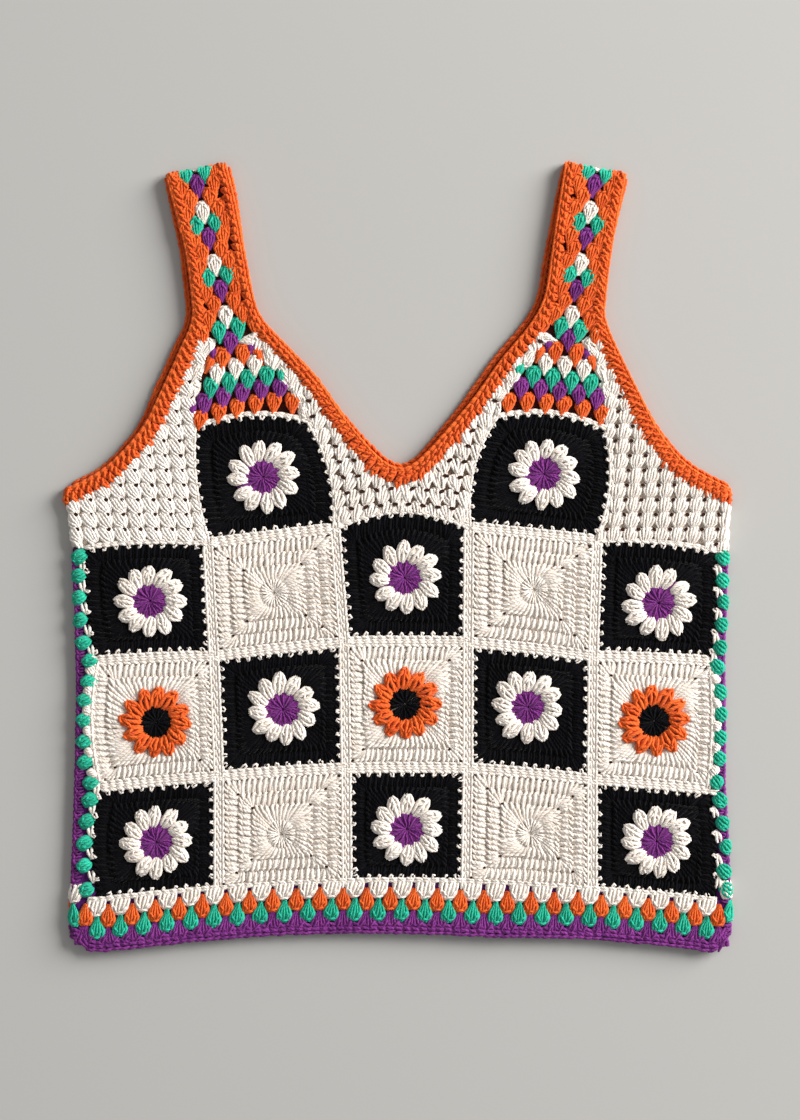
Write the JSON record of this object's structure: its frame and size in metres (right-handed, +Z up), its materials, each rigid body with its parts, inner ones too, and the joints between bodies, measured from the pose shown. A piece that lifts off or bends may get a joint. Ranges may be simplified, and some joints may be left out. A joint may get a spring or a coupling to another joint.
{
  "type": "crocheted cotton vest",
  "caption": "Sleeveless crocheted vest laid flat: V neck, wide folded straps, joined squares with raised flowers, cluster-stitch yoke, coloured side bands and banded hem.",
  "frame": {"origin": "bottom centre of the garment as it lies flat, front side up", "axes": "+X across the chest to the right of the picture, +Y from the hem to the shoulders, +Z up from the surface"},
  "size_m": [0.4688, 0.5524, 0.0095],
  "materials": {
    "cream_yarn": "matte cotton yarn",
    "black_yarn": "matte cotton yarn",
    "orange_yarn": "matte cotton yarn",
    "purple_yarn": "matte cotton yarn",
    "teal_yarn": "matte cotton yarn"
  },
  "bodies": {
    "root": {"square_r1c2": "black_yarn", "square_r1c4": "black_yarn", "square_r2c1": "black_yarn", "square_r2c2": "cream_yarn", "square_r2c3": "black_yarn", "square_r2c4": "cream_yarn", "square_r2c5": "black_yarn", "square_r3c1": "cream_yarn", "square_r3c2": "black_yarn", "square_r3c3": "cream_yarn", "square_r3c4": "black_yarn", "square_r3c5": "cream_yarn", "square_r4c1": "black_yarn", "square_r4c2": "cream_yarn", "square_r4c3": "black_yarn", "square_r4c4": "cream_yarn", "square_r4c5": "black_yarn", "strap_left": "orange_yarn", "strap_right": "orange_yarn", "neck_edging": "orange_yarn", "armhole_edging_left": "orange_yarn", "armhole_edging_right": "orange_yarn", "yoke_left": "cream_yarn", "yoke_centre": "cream_yarn", "yoke_right": "cream_yarn", "side_band_left": "teal_yarn", "side_band_right": "teal_yarn", "hem_band": "purple_yarn", "back_panel": "cream_yarn"}
  },
  "joints": []
}
